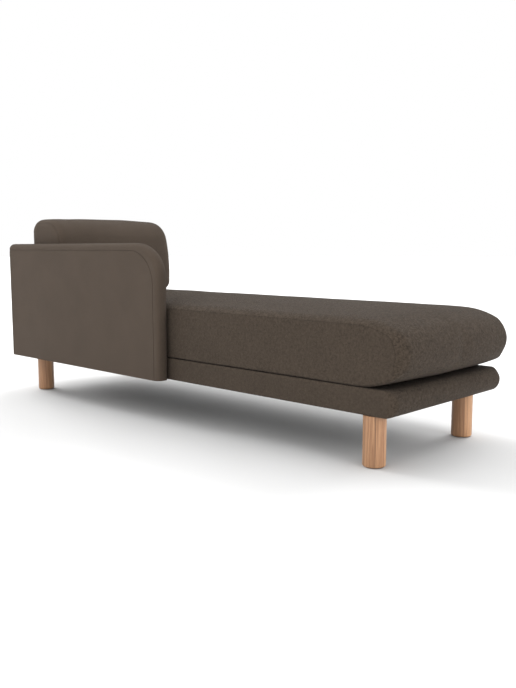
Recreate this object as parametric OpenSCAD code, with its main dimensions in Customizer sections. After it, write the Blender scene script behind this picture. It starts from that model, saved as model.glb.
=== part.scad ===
// Chaise longue with one arm, on four round legs.
// A padded base with a round foot end carries an arm panel along the near side, a back panel
// across the head end, a thick seat cushion with a bullnose foot end and a loose back cushion.
// +X runs away from the arm, -Y is the foot end, +Y is the head end and +Z is up.
// The origin is on the floor, under the middle of the whole chaise. Millimetres.

/* [Overall] */
// Width from the outer face of the arm to the open side
overall_width = 700; // [660:5:800]
// Length from the foot end of the seat cushion to the rear of the back panel
overall_length = 2080; // [1960:10:2300]
// Height of the arm and back panels
panel_height = 663; // [620:1:720]
// Height of the top of the seat cushion
seat_height = 440; // [420:1:470]
// Height of the top of the back cushion
back_cushion_top = 774; // [750:1:830]

/* [Legs] */
// Diameter of a leg
leg_d = 70; // [56:1:80]
// Height of the underside of the base over the floor
leg_h = 156; // [110:1:180]
// Distance of the leg axes from the foot end and the head end
leg_end_inset = 122.5; // [115:0.5:150]
// Chamfer round the bottom end of a leg
leg_chamfer = 2.5; // [1:0.5:6]
// Diameter of a felt glide
glide_d = 42; // [30:1:50]
// Thickness of a felt glide
glide_t = 4; // [3:0.5:6]
// Depth of the recess that holds a glide
glide_recess = 2.5; // [1:0.5:2.5]
// Thread diameter of a leg stud
stud_d = 10; // [8:1:12]
// Length of the stud inside the leg
stud_depth = 45; // [30:1:60]

/* [Base] */
// Height of the padded base
base_h = 81; // [79:1:95]
// Distance from the foot end of the seat cushion back to the foot end of the base
base_setback = 29; // [0:1:60]
// Rounding of the long edges of the base
base_edge_r = 8; // [4:0.5:12]
// Thickness of the upholstery fabric
fabric_t = 1.5; // [1:0.1:3]
// Width of the fabric turned in under the base
cover_return = 34; // [20:1:50]
// Thickness of the foam on the sides of the base
side_foam_t = 10; // [6:1:20]
// Thickness of the felt over the springs
felt_t = 3; // [2:0.5:5]
// Thickness of a side rail
side_rail_t = 45; // [40:1:60]
// Thickness of the foot rail and the head rail
end_rail_t = 30; // [22:1:36]
// Height of the rails
rail_h = 55; // [45:1:56]
// Thickness of a cross rail
cross_rail_t = 22; // [18:1:30]
// Room under the springs over a cross rail
cross_rail_drop = 12; // [6:1:20]
// Number of bays between the foot rail and the head rail
bay_count = 6; // [5:1:7]
// Length of a leg block
leg_block_l = 80; // [76:1:90]

/* [Springs] */
// Number of zigzag springs
spring_count = 12; // [8:1:12]
// Wire diameter of a spring
wire_d = 3.8; // [3:0.1:4.5]
// Width of a zigzag spring
spring_w = 60; // [58:1:70]
// Wanted distance between the bars of a spring
bar_pitch = 38; // [34:1:40]
// Distance of the first and last spring from the end rails
spring_end_gap = 90; // [84:1:120]
// Distance from the inner face of a side rail to an end bar
spring_hook = 14; // [10:1:20]
// Sheet thickness of a spring clip
clip_t = 1.4; // [1:0.1:2]
// Width of a spring clip
clip_w = 12; // [8:1:12]

/* [Arm and back panels] */
// Thickness of the arm and back panels
panel_t = 56; // [56:1:70]
// Rounding of the free edges of a panel
panel_edge_r = 27; // [20:0.5:27.5]
// Radius of the seam at the upper front corner of a panel
panel_corner_r = 103; // [60:1:130]
// Length of the arm panel
arm_length = 1061; // [900:1:1200]
// Thickness of the foam on the faces of a panel
face_foam_t = 6; // [4:0.5:8]
// Thickness of the hardboard on a panel frame
board_t = 3; // [2:0.5:4]
// Width of a panel post
post_w = 50; // [40:1:60]
// Height of the top rail of a panel
top_rail_h = 40; // [30:1:60]

/* [Fasteners] */
// Thread diameter of the bolts that hold the panels
bolt_d = 8; // [6:1:10]
// Number of bolts that hold the arm
arm_bolt_count = 3; // [2:1:3]
// Distance between the bolts that hold the back panel
back_bolt_gap = 160; // [120:1:165]
// Diameter of the dowels between the arm and the back panel
dowel_d = 12; // [8:1:16]
// Depth of a dowel in each post
dowel_depth = 34; // [20:1:38]
// Height of the lower dowel
dowel_low_z = 300; // [270:1:360]
// Distance between the two dowels
dowel_gap = 220; // [150:1:240]

/* [Seat cushion] */
// Depth of the curve at the foot end
seat_nose_depth = 169; // [140:1:220]
// Radius at the tip of the foot end
seat_nose_r = 82; // [60:1:92]
// Rounding of the long edges
seat_edge_r = 22; // [6:1:28]
// Thickness of the soft upper layer of foam
topper_t = 60; // [30:1:80]

/* [Back cushion] */
// Thickness of the back cushion
back_cushion_t = 268; // [220:1:300]
// Gap between the back cushion and the arm
back_cushion_side_gap = 14; // [2:1:40]
// Gap between the back cushion and the back panel
back_cushion_rear_gap = 4; // [1:0.5:10]
// Depth of the sloping front shoulder
shoulder_depth = 132; // [122:1:150]
// Height of the sloping front shoulder
shoulder_h = 227; // [180:1:250]
// Radius at the top of the front shoulder
shoulder_r = 117; // [80:1:124]
// Radius of the upper rear edge
back_rear_r = 60; // [40:1:80]
// Radius of the lower edges
back_bottom_r = 50; // [30:1:60]
// Rounding of the ends
back_end_r = 44; // [15:1:48]

/* [Hidden] */
$fn = 96;

// Clearance between loose cushions and what they touch
soft_clear = 0.4;
// Clearance of a hole round its bolt, stud or dowel
hole_clear = 0.5;
// Length by which a cutter passes a face
pass = 2;

// Box of the base
base_x0 = -overall_width / 2 + panel_t;
base_x1 = overall_width / 2;
base_y0 = -overall_length / 2 + base_setback;
base_y1 = overall_length / 2 - panel_t;
base_z0 = leg_h;
base_z1 = leg_h + base_h;
base_zc = leg_h + base_h / 2;
nose_y = base_y0 + base_h / 2;

// Legs, flush with the near side of the base and set in as far on the open side
leg_x = -(base_x0 + leg_d / 2);
leg_y = overall_length / 2 - leg_end_inset;
leg_z0 = glide_t - glide_recess;

// Base frame
frame_x0 = base_x0 + fabric_t + side_foam_t;
frame_x1 = base_x1 - fabric_t - side_foam_t;
frame_y1 = base_y1 - fabric_t;
rail_z0 = base_z0 + fabric_t;
rail_z1 = rail_z0 + rail_h;
inner_x0 = frame_x0 + side_rail_t;
inner_x1 = frame_x1 - side_rail_t;
inner_y0 = nose_y + end_rail_t;
inner_y1 = frame_y1 - end_rail_t;
bay_l = (inner_y1 - inner_y0) / bay_count;
bolt_z = rail_z0 + rail_h / 2;

// T-nuts and bolt heads, in proportion to their threads
flange_ratio = 2.2;
head_ratio = 1.7;
head_t_ratio = 0.6;
tnut_flange_d = flange_ratio * stud_d;
tnut_flange_t = 1.6;
tnut_barrel_l = 11;
tnut_wall = 1;
bolt_tnut_flange_d = flange_ratio * bolt_d;
bolt_head_d = head_ratio * bolt_d;
bolt_head_t = head_t_ratio * bolt_d;

// Springs
spring_z = rail_z1 + clip_t + wire_d / 2;
felt_z0 = spring_z + wire_d / 2 + clip_t;
foam_z0 = felt_z0 + felt_t;
spring_x0 = inner_x0 - spring_hook;
spring_x1 = inner_x1 + spring_hook;
spring_gaps = 2 * round((spring_x1 - spring_x0) / (2 * bar_pitch));
bar_gap = (spring_x1 - spring_x0) / spring_gaps;
bar_l = spring_w - bar_gap - wire_d;
bar_lap = 0.6;
loop_thin = 0.1;
wire_fn = 24;
spring_y0 = inner_y0 + spring_end_gap;
spring_pitch = (inner_y1 - inner_y0 - 2 * spring_end_gap) / (spring_count - 1);

// Arm and back panels, in a frame with u along the panel from its square end to its round
// end, v through it from the outer face to the seat side and z up
seam_z = panel_height - panel_edge_r;
corner_z = seam_z - panel_corner_r;
core_v0 = fabric_t + face_foam_t;
core_v1 = panel_t - core_v0;
wood_v0 = core_v0 + board_t;
wood_v1 = core_v1 - board_t;
wide_v1 = panel_t - fabric_t;
post_u1 = fabric_t + post_w;
back_length = overall_width - panel_t;
arm_front_y = overall_length / 2 - arm_length;

// Fasteners of the panels
arm_bolt_ys = [for (i = [0 : arm_bolt_count - 1]) inner_y1 - bay_l * (i + 0.5)];
back_bolt_xs = [for (i = [-1 : 1]) (base_x0 + base_x1) / 2 + i * back_bolt_gap];
dowel_zs = [dowel_low_z, dowel_low_z + dowel_gap];
dowel_y = overall_length / 2 - panel_t / 2;
arm_tnut_x = -overall_width / 2 + wood_v0 + tnut_flange_t;
back_tnut_y = overall_length / 2 - wood_v0 - tnut_flange_t;

// Angle by which the long arc of a cushion stops short of its short arc, a step too small to see
arc_trim = 1.5;
// Length by which the forms that round the edges of a cushion pass its faces
edge_pass = 0.05;

// Seat cushion: a flat top and bottom, joined at the foot end by a long and a short arc
seat_x0 = base_x0 + soft_clear;
seat_x1 = base_x1;
seat_y0 = -overall_length / 2;
seat_y1 = base_y1 - soft_clear;
seat_z0 = base_z1 + soft_clear;
seat_half_h = (seat_height - seat_z0) / 2;
seat_zc = seat_z0 + seat_half_h;
seat_arc_r = blend_radius(seat_nose_depth, seat_half_h, seat_nose_r);
seat_arc_a = atan((seat_nose_depth - seat_nose_r) / (seat_arc_r - seat_half_h));
seat_arc_y = seat_y0 + seat_nose_depth;

// Back cushion, centred over the seat
back_x0 = base_x0 + back_cushion_side_gap;
back_x1 = base_x1 - back_cushion_side_gap;
back_y1 = base_y1 - back_cushion_rear_gap;
back_y0 = back_y1 - back_cushion_t;
back_z0 = seat_height + soft_clear;
shoulder_z = back_cushion_top - shoulder_h;
shoulder_arc_r = blend_radius(shoulder_h, shoulder_depth, shoulder_r);
shoulder_a = atan((shoulder_h - shoulder_r) / (shoulder_arc_r - shoulder_depth));

// Radius of the long arc that joins a short arc of radius r to a flat face, in a curve that is
// a deep along the short arc's axis and b high
function blend_radius(a, b, r) = (a * a + b * b - 2 * a * r) / (2 * (b - r));

// ---- Shared shapes ----

// Extrudes a drawing in X and Z along Y
module along_y(y0, y1) {
    translate([0, y1, 0])
        rotate([90, 0, 0])
            linear_extrude(y1 - y0) children();
}

// Extrudes a drawing in Y and Z along X
module along_x(x0, x1) {
    translate([x0, 0, 0])
        rotate([90, 0, 90])
            linear_extrude(x1 - x0) children();
}

// Turns a drawing of radius and width about an axis along X, from angle a0 over angle a
module turned_about_x(centre, a0, a) {
    translate(centre)
        rotate([90, 0, 90])
            rotate([0, 0, a0])
                rotate_extrude(angle = a) children();
}

// A box from one corner to the other
module box(low, high) {
    translate(low) cube(high - low);
}

// A rectangle from one corner to the other with round corners
module round_rect(low, high, r) {
    translate([low.x + r, low.y]) square([high.x - low.x - 2 * r, high.y - low.y]);
    translate([low.x, low.y + r]) square([high.x - low.x, high.y - low.y - 2 * r]);
    for (x = [low.x + r, high.x - r])
        for (y = [low.y + r, high.y - r])
            translate([x, y]) circle(r);
}

// Half section of a disc of a radius and a width, with its rim rounded at both sides
module rim_section(radius, width, r) {
    square([radius - r, width]);
    translate([0, r]) square([radius, width - 2 * r]);
    for (y = [r, width - r])
        translate([radius - r, y]) circle(r);
}

// ---- Legs and their fittings ----

module at_legs() {
    for (x = [-leg_x, leg_x])
        for (y = [-leg_y, leg_y])
            translate([x, y, 0]) children();
}

module leg(x, y) {
    color("burlywood")
        translate([x, y, 0])
            difference() {
                rotate_extrude()
                    polygon([
                        [0, leg_z0],
                        [leg_d / 2 - leg_chamfer, leg_z0],
                        [leg_d / 2, leg_z0 + leg_chamfer],
                        [leg_d / 2, leg_h],
                        [0, leg_h]
                    ]);
                translate([0, 0, leg_z0 - pass]) cylinder(h = glide_recess + pass, d = glide_d);
                translate([0, 0, leg_h - stud_depth]) cylinder(h = stud_depth + pass, d = stud_d);
            }
}

module leg_foot_near() leg(-leg_x, -leg_y);
module leg_foot_far() leg(leg_x, -leg_y);
module leg_head_near() leg(-leg_x, leg_y);
module leg_head_far() leg(leg_x, leg_y);

module leg_glides() {
    color("dimgray") at_legs() cylinder(h = glide_t, d = glide_d);
}

module leg_studs() {
    color("silver")
        at_legs()
            translate([0, 0, leg_h - stud_depth])
                cylinder(h = stud_depth + rail_z1 + tnut_flange_t - leg_h, d = stud_d);
}

module leg_tnuts() {
    color("silver")
        at_legs()
            translate([0, 0, rail_z1])
                difference() {
                    union() {
                        cylinder(h = tnut_flange_t, d = tnut_flange_d);
                        translate([0, 0, -tnut_barrel_l])
                            cylinder(h = tnut_barrel_l, d = stud_d + 2 * tnut_wall);
                    }
                    translate([0, 0, -tnut_barrel_l - pass])
                        cylinder(h = tnut_barrel_l + tnut_flange_t + 2 * pass, d = stud_d);
                }
}

// Holes for the studs, the T-nuts fit them
module stud_holes() {
    at_legs()
        translate([0, 0, base_z0 - pass])
            cylinder(h = rail_z1 - base_z0 + 2 * pass, d = stud_d + 2 * tnut_wall);
}

// ---- Base frame ----

module arm_bolt_holes() {
    for (y = arm_bolt_ys)
        translate([base_x0 - panel_t, y, bolt_z])
            rotate([0, 90, 0])
                cylinder(h = inner_x0 - base_x0 + panel_t + pass, d = bolt_d + hole_clear);
}

module back_bolt_holes() {
    for (x = back_bolt_xs)
        translate([x, inner_y1 - pass, bolt_z])
            rotate([-90, 0, 0])
                cylinder(h = base_y1 - inner_y1 + panel_t + pass, d = bolt_d + hole_clear);
}

module side_rail_near() {
    color("wheat")
        difference() {
            box([frame_x0, nose_y, rail_z0], [inner_x0, frame_y1, rail_z1]);
            stud_holes();
            arm_bolt_holes();
        }
}

module side_rail_far() {
    color("wheat") box([inner_x1, nose_y, rail_z0], [frame_x1, frame_y1, rail_z1]);
}

module foot_rail() {
    color("wheat") box([inner_x0, nose_y, rail_z0], [inner_x1, inner_y0, rail_z1]);
}

module head_rail() {
    color("wheat")
        difference() {
            box([inner_x0, inner_y1, rail_z0], [inner_x1, frame_y1, rail_z1]);
            back_bolt_holes();
        }
}

module cross_rails() {
    color("wheat")
        for (i = [1 : bay_count - 1]) {
            y = inner_y0 + i * bay_l;
            box(
                [inner_x0, y - cross_rail_t / 2, rail_z0],
                [inner_x1, y + cross_rail_t / 2, rail_z1 - cross_rail_drop]
            );
        }
}

// Blocks in the corners of the open side, which carry the far legs
module leg_blocks() {
    color("tan")
        difference() {
            for (y = [inner_y0, inner_y1 - leg_block_l])
                box([leg_x - leg_d / 2, y, rail_z0], [inner_x1, y + leg_block_l, rail_z1]);
            stud_holes();
        }
}

// Strip between the near rail and the arm, in place of the side foam
module arm_packer() {
    color("tan")
        difference() {
            intersection() {
                base_body(fabric_t);
                box([base_x0, arm_front_y + panel_edge_r, base_z0], [frame_x0, base_y1, rail_z1]);
            }
            arm_bolt_holes();
        }
}

// ---- Springs ----

// One zigzag spring along X, with its bars along Y and its loops at alternate ends.
// The bars reach into the loops, which are thinner by a hair, so that the wire is one piece.
module zigzag_spring() {
    for (i = [0 : spring_gaps])
        translate([i * bar_gap, -bar_l / 2 - bar_lap, 0])
            rotate([-90, 0, 0]) cylinder(h = bar_l + 2 * bar_lap, d = wire_d, $fn = wire_fn);
    for (i = [0 : spring_gaps - 1])
        translate([(i + 0.5) * bar_gap, (i % 2 == 0 ? 1 : -1) * bar_l / 2, 0])
            rotate([0, 0, i % 2 == 0 ? 0 : 180])
                rotate_extrude(angle = 180)
                    translate([bar_gap / 2, 0]) circle(d = wire_d - loop_thin, $fn = wire_fn);
}

module at_springs() {
    for (i = [0 : spring_count - 1])
        translate([0, spring_y0 + i * spring_pitch, spring_z]) children();
}

module zigzag_springs() {
    color("gray") at_springs() translate([spring_x0, 0, 0]) zigzag_spring();
}

// A strip of steel folded round an end bar and nailed to the rail
module spring_clip() {
    difference() {
        union() {
            rotate([90, 0, 0]) cylinder(h = clip_w, d = wire_d + 2 * clip_t, center = true);
            box(
                [-spring_hook / 2, -clip_w / 2, -wire_d / 2 - clip_t],
                [spring_hook / 2, clip_w / 2, -wire_d / 2]
            );
        }
        rotate([90, 0, 0]) cylinder(h = clip_w + pass, d = wire_d, center = true);
    }
}

module spring_clips() {
    color("darkgray")
        at_springs()
            for (x = [spring_x0, spring_x1])
                translate([x, 0, 0]) spring_clip();
}

module spring_felt() {
    color("darkslategray") box([frame_x0, nose_y, felt_z0], [frame_x1, frame_y1, foam_z0]);
}

// ---- Base upholstery ----

// The base with its round foot end, smaller by an inset on every side
module base_body(inset) {
    r = base_edge_r - inset;
    along_y(nose_y, base_y1 - inset)
        round_rect([base_x0 + inset, base_z0 + inset], [base_x1 - inset, base_z1 - inset], r);
    turned_about_x([base_x0 + inset, nose_y, base_zc], 90, 180)
        rim_section(base_h / 2 - inset, base_x1 - base_x0 - 2 * inset, r);
}

module deck_foam() {
    color("khaki")
        intersection() {
            base_body(fabric_t);
            box([base_x0, nose_y, foam_z0], [base_x1, base_y1, base_z1]);
        }
}

module side_foam(x0, x1, y1) {
    color("khaki")
        intersection() {
            base_body(fabric_t);
            box([x0, nose_y, base_z0], [x1, y1, foam_z0]);
        }
}

module side_foam_near() side_foam(base_x0, frame_x0, arm_front_y + panel_edge_r);
module side_foam_far() side_foam(frame_x1, base_x1, base_y1);

module nose_foam() {
    color("khaki")
        intersection() {
            base_body(fabric_t);
            box([base_x0, base_y0, base_z0], [base_x1, nose_y, base_z1]);
        }
}

// Opening in the underside that the dust cover closes, taller by an extra above and below
module underside(extra) {
    box(
        [base_x0 + cover_return, nose_y + cover_return, base_z0 - extra],
        [base_x1 - cover_return, base_y1 - cover_return, rail_z0 + extra]
    );
}

module base_cover() {
    color("dimgray")
        difference() {
            base_body(0);
            base_body(fabric_t);
            underside(pass);
            stud_holes();
            arm_bolt_holes();
            back_bolt_holes();
        }
}

module dust_cover() {
    color("black")
        difference() {
            underside(0);
            stud_holes();
        }
}

// ---- Arm and back panels ----

module as_arm() {
    translate([-overall_width / 2, overall_length / 2, 0]) rotate([0, 0, -90]) children();
}

module as_back() {
    translate([base_x0, overall_length / 2, 0]) mirror([0, 1, 0]) children();
}

// Section of the round edge, from the seam outwards, drawn with its axis up
module edge_section(inset) {
    r = panel_edge_r - inset;
    flat = panel_t - 2 * panel_edge_r;
    intersection() {
        union() {
            for (y = [-flat / 2, flat / 2])
                translate([0, y]) circle(r);
            translate([0, -flat / 2]) square([r, flat]);
        }
        translate([0, -panel_t / 2]) square([r, panel_t]);
    }
}

// The round edge along the front and the top of a panel
module edge_band(length, inset, z0) {
    seam_u = length - panel_edge_r;
    corner_u = seam_u - panel_corner_r;
    translate([seam_u, panel_t / 2, z0])
        linear_extrude(corner_z - z0) edge_section(inset);
    translate([inset, panel_t / 2, seam_z])
        rotate([90, 0, 90])
            linear_extrude(corner_u - inset) rotate([0, 0, 90]) edge_section(inset);
    translate([corner_u, panel_t / 2, corner_z])
        rotate([90, 0, 0])
            rotate_extrude(angle = 90) translate([panel_corner_r, 0]) edge_section(inset);
}

// A sheet with the outline of the seam, from face v0 to face v1
module seam_sheet(length, u0, z0, v0, v1) {
    seam_u = length - panel_edge_r;
    corner_u = seam_u - panel_corner_r;
    translate([0, v1, 0])
        rotate([90, 0, 0])
            linear_extrude(v1 - v0) {
                translate([u0, z0]) square([seam_u - u0, corner_z - z0]);
                translate([u0, z0]) square([corner_u - u0, seam_z - z0]);
                translate([corner_u, corner_z])
                    intersection() {
                        circle(panel_corner_r);
                        square(panel_corner_r);
                    }
            }
}

// A whole panel, smaller by an inset on every side
module panel_body(length, inset) {
    seam_sheet(length, inset, base_z0 + inset, inset, panel_t - inset);
    edge_band(length, inset, base_z0 + inset);
}

module panel_cover(length) {
    difference() {
        panel_body(length, 0);
        panel_body(length, fabric_t);
    }
}

module bottom_rail(length) {
    box([post_u1, wood_v0, rail_z0], [length - panel_edge_r, wide_v1, rail_z1]);
}

module square_end_post() {
    box([fabric_t, wood_v0, rail_z0], [post_u1, wide_v1, seam_z]);
}

module round_end_post(length) {
    seam_u = length - panel_edge_r;
    box([seam_u - post_w, wood_v0, rail_z1], [seam_u, wood_v1, corner_z]);
}

module corner_block(length) {
    translate([length - panel_edge_r - panel_corner_r, wood_v1, corner_z])
        rotate([90, 0, 0])
            linear_extrude(wood_v1 - wood_v0)
                intersection() {
                    circle(panel_corner_r);
                    square(panel_corner_r);
                }
}

module top_rail(length) {
    corner_u = length - panel_edge_r - panel_corner_r;
    box([post_u1, wood_v0, seam_z - top_rail_h], [corner_u, wood_v1, seam_z]);
}

module middle_stud(length) {
    u = (post_u1 + length - panel_edge_r - post_w) / 2;
    box([u - post_w / 2, wood_v0, rail_z1], [u + post_w / 2, wood_v1, seam_z - top_rail_h]);
}

module panel_boards(length) {
    seam_sheet(length, fabric_t, rail_z0, core_v0, wood_v0);
    seam_sheet(length, post_u1, rail_z1, wood_v1, core_v1);
}

module panel_face_foam(length) {
    seam_sheet(length, fabric_t, rail_z0, fabric_t, core_v0);
    seam_sheet(length, post_u1, rail_z1, core_v1, wide_v1);
}

// ---- Arm ----

module corner_dowel_holes() {
    for (z = dowel_zs)
        translate([base_x0 - fabric_t - dowel_depth, dowel_y, z])
            rotate([0, 90, 0])
                cylinder(h = 2 * (dowel_depth + fabric_t), d = dowel_d);
}

module arm_tnut_recesses() {
    for (y = arm_bolt_ys)
        translate([arm_tnut_x, y, bolt_z])
            rotate([0, -90, 0]) {
                cylinder(h = tnut_flange_t + pass, d = bolt_tnut_flange_d);
                translate([0, 0, -tnut_barrel_l]) cylinder(h = tnut_barrel_l, d = bolt_d + 2 * tnut_wall);
            }
}

module arm_bottom_rail() {
    color("wheat")
        difference() {
            as_arm() bottom_rail(arm_length);
            arm_bolt_holes();
            arm_tnut_recesses();
        }
}

module arm_rear_post() {
    color("wheat")
        difference() {
            as_arm() square_end_post();
            corner_dowel_holes();
        }
}

module arm_front_post() color("wheat") as_arm() round_end_post(arm_length);
module arm_corner_block() color("tan") as_arm() corner_block(arm_length);
module arm_top_rail() color("wheat") as_arm() top_rail(arm_length);
module arm_stud() color("wheat") as_arm() middle_stud(arm_length);
module arm_boards() color("sienna") as_arm() panel_boards(arm_length);
module arm_face_foam() color("khaki") as_arm() panel_face_foam(arm_length);
module arm_edge_roll() color("khaki") as_arm() edge_band(arm_length, fabric_t, rail_z0);

module arm_cover() {
    color("dimgray")
        difference() {
            as_arm() panel_cover(arm_length);
            intersection() {
                arm_bolt_holes();
                box([base_x0 - 2 * fabric_t, base_y0, base_z0], [base_x0 + pass, base_y1, base_z1]);
            }
            corner_dowel_holes();
        }
}

// ---- Back panel ----

module back_tnut_recesses() {
    for (x = back_bolt_xs)
        translate([x, back_tnut_y, bolt_z])
            rotate([-90, 0, 0]) {
                cylinder(h = tnut_flange_t + pass, d = bolt_tnut_flange_d);
                translate([0, 0, -tnut_barrel_l]) cylinder(h = tnut_barrel_l, d = bolt_d + 2 * tnut_wall);
            }
}

module back_bottom_rail() {
    color("wheat")
        difference() {
            as_back() bottom_rail(back_length);
            back_bolt_holes();
            back_tnut_recesses();
        }
}

module back_near_post() {
    color("wheat")
        difference() {
            as_back() square_end_post();
            corner_dowel_holes();
        }
}

module back_far_post() color("wheat") as_back() round_end_post(back_length);
module back_corner_block() color("tan") as_back() corner_block(back_length);
module back_top_rail() color("wheat") as_back() top_rail(back_length);
module back_stud() color("wheat") as_back() middle_stud(back_length);
module back_boards() color("sienna") as_back() panel_boards(back_length);
module back_face_foam() color("khaki") as_back() panel_face_foam(back_length);
module back_edge_roll() color("khaki") as_back() edge_band(back_length, fabric_t, rail_z0);

module back_cover() {
    color("dimgray")
        difference() {
            as_back() panel_cover(back_length);
            intersection() {
                back_bolt_holes();
                box([base_x0, base_y1 - pass, base_z0], [base_x1, base_y1 + 2 * fabric_t, base_z1]);
            }
            corner_dowel_holes();
        }
}

// ---- Fasteners of the panels ----

// A hexagon bolt whose head seats at z = 0 and whose shank runs up
module hex_bolt(shank_l) {
    translate([0, 0, -bolt_head_t]) cylinder(h = bolt_head_t, d = bolt_head_d, $fn = 6);
    cylinder(h = shank_l, d = bolt_d);
}

// A T-nut whose flange seats at z = 0 and whose barrel runs down
module bolt_tnut() {
    difference() {
        union() {
            cylinder(h = tnut_flange_t, d = bolt_tnut_flange_d);
            translate([0, 0, -tnut_barrel_l]) cylinder(h = tnut_barrel_l, d = bolt_d + 2 * tnut_wall);
        }
        translate([0, 0, -tnut_barrel_l - pass])
            cylinder(h = tnut_barrel_l + tnut_flange_t + 2 * pass, d = bolt_d);
    }
}

module arm_bolts() {
    color("silver")
        for (y = arm_bolt_ys)
            translate([inner_x0, y, bolt_z])
                rotate([0, -90, 0]) hex_bolt(inner_x0 - arm_tnut_x);
}

module arm_tnuts() {
    color("silver")
        for (y = arm_bolt_ys)
            translate([arm_tnut_x, y, bolt_z]) rotate([0, -90, 0]) bolt_tnut();
}

module back_bolts() {
    color("silver")
        for (x = back_bolt_xs)
            translate([x, inner_y1, bolt_z])
                rotate([-90, 0, 0]) hex_bolt(back_tnut_y - inner_y1);
}

module back_tnuts() {
    color("silver")
        for (x = back_bolt_xs)
            translate([x, back_tnut_y, bolt_z]) rotate([-90, 0, 0]) bolt_tnut();
}

module corner_dowels() {
    color("burlywood") corner_dowel_holes();
}

// ---- Seat cushion ----

// Part of a disc above the middle height, from the top of the disc to the tip of the foot end
module seat_long_arc(inset) {
    reach = 2 * seat_arc_r;
    angle = seat_arc_a - arc_trim;
    intersection() {
        translate([seat_arc_y, seat_half_h - seat_arc_r]) circle(seat_arc_r - inset);
        translate([seat_arc_y, seat_half_h - seat_arc_r])
            polygon([[0, 0], [0, reach], [-reach * sin(angle), reach], reach * [-sin(angle), cos(angle)]]);
        translate([seat_y0, 0]) square([seat_nose_depth, seat_half_h]);
    }
}

// Side view of the seat cushion: square head end, bullnose foot end
module seat_side(inset) {
    translate([seat_arc_y, seat_z0 + inset])
        square([seat_y1 - inset - seat_arc_y, 2 * (seat_half_h - inset)]);
    translate([0, seat_zc]) {
        translate([seat_y0 + seat_nose_r, 0]) circle(seat_nose_r - inset);
        seat_long_arc(inset);
        mirror([0, 1]) seat_long_arc(inset);
    }
}

// The seat cushion, smaller by an inset on every side. The forms that round its edges pass the
// other faces by a hair, so that no two round faces meet along one line.
module seat_body(inset) {
    x0 = seat_x0 + inset;
    x1 = seat_x1 - inset;
    out = inset - edge_pass;
    r = seat_edge_r - inset;
    intersection() {
        along_x(x0, x1) seat_side(inset);
        along_y(seat_y0 - pass, seat_y1 + pass)
            round_rect([x0, seat_z0 + out], [x1, seat_height - out], r);
        linear_extrude(seat_height + pass)
            round_rect([x0, seat_y0 + out], [x1, seat_y1 - out], r);
    }
}

module seat_core() {
    color("khaki")
        intersection() {
            seat_body(fabric_t);
            box([seat_x0, seat_y0, seat_z0], [seat_x1, seat_y1, seat_height - topper_t]);
        }
}

module seat_topper() {
    color("lemonchiffon")
        intersection() {
            seat_body(fabric_t);
            box([seat_x0, seat_y0, seat_height - topper_t], [seat_x1, seat_y1, seat_height]);
        }
}

module seat_cover() {
    color("dimgray")
        difference() {
            seat_body(0);
            seat_body(fabric_t);
        }
}

// ---- Back cushion ----

// Side view of the back cushion: upright rear, sloping front shoulder and round lower edges
module back_cushion_side(inset) {
    top_y = back_y0 + shoulder_depth;
    long_y = back_y0 + shoulder_arc_r;
    reach = 2 * shoulder_arc_r;
    angle = shoulder_a - arc_trim;
    round_rect([back_y0 + inset, back_z0 + inset], [back_y1 - inset, shoulder_z], back_bottom_r - inset);
    translate([back_y0 + inset, shoulder_z - back_bottom_r])
        square([back_cushion_t - 2 * inset, back_bottom_r]);
    translate([top_y, shoulder_z])
        square([back_y1 - back_rear_r - top_y, shoulder_h - inset]);
    translate([top_y, shoulder_z])
        square([back_y1 - inset - top_y, shoulder_h - back_rear_r]);
    translate([back_y1 - back_rear_r, back_cushion_top - back_rear_r]) circle(back_rear_r - inset);
    translate([top_y, back_cushion_top - shoulder_r]) circle(shoulder_r - inset);
    intersection() {
        translate([long_y, shoulder_z]) circle(shoulder_arc_r - inset);
        polygon([
            [long_y, shoulder_z],
            [long_y - reach * cos(angle), shoulder_z + reach * sin(angle)],
            [back_y0 - reach, shoulder_z + reach * sin(angle)],
            [back_y0 - reach, shoulder_z]
        ]);
        translate([back_y0, shoulder_z]) square([shoulder_depth, shoulder_h]);
    }
}

// The back cushion, smaller by an inset on every side, rounded like the seat cushion
module back_cushion_body(inset) {
    x0 = back_x0 + inset;
    x1 = back_x1 - inset;
    out = inset - edge_pass;
    r = back_end_r - inset;
    intersection() {
        along_x(x0, x1) back_cushion_side(inset);
        along_y(back_y0 - pass, back_y1 + pass)
            round_rect([x0, back_z0 + out], [x1, back_cushion_top - out], r);
        linear_extrude(back_cushion_top + pass)
            round_rect([x0, back_y0 + out], [x1, back_y1 - out], r);
    }
}

module back_cushion_core() {
    color("khaki") back_cushion_body(fabric_t);
}

module back_cushion_cover() {
    color("dimgray")
        difference() {
            back_cushion_body(0);
            back_cushion_body(fabric_t);
        }
}

leg_foot_near();
leg_foot_far();
leg_head_near();
leg_head_far();
leg_glides();
leg_studs();
leg_tnuts();
leg_blocks();
side_rail_near();
side_rail_far();
foot_rail();
head_rail();
cross_rails();
arm_packer();
zigzag_springs();
spring_clips();
spring_felt();
deck_foam();
side_foam_near();
side_foam_far();
nose_foam();
base_cover();
dust_cover();
arm_bottom_rail();
arm_rear_post();
arm_front_post();
arm_corner_block();
arm_top_rail();
arm_stud();
arm_boards();
arm_face_foam();
arm_edge_roll();
arm_cover();
back_bottom_rail();
back_near_post();
back_far_post();
back_corner_block();
back_top_rail();
back_stud();
back_boards();
back_face_foam();
back_edge_roll();
back_cover();
arm_bolts();
arm_tnuts();
back_bolts();
back_tnuts();
corner_dowels();
seat_core();
seat_topper();
seat_cover();
back_cushion_core();
back_cushion_cover();
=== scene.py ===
"""Chaise longue with one arm: upholstered base and panels, loose cushions and wooden legs."""

import math

import bmesh
import bpy
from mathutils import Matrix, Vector, noise


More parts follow.
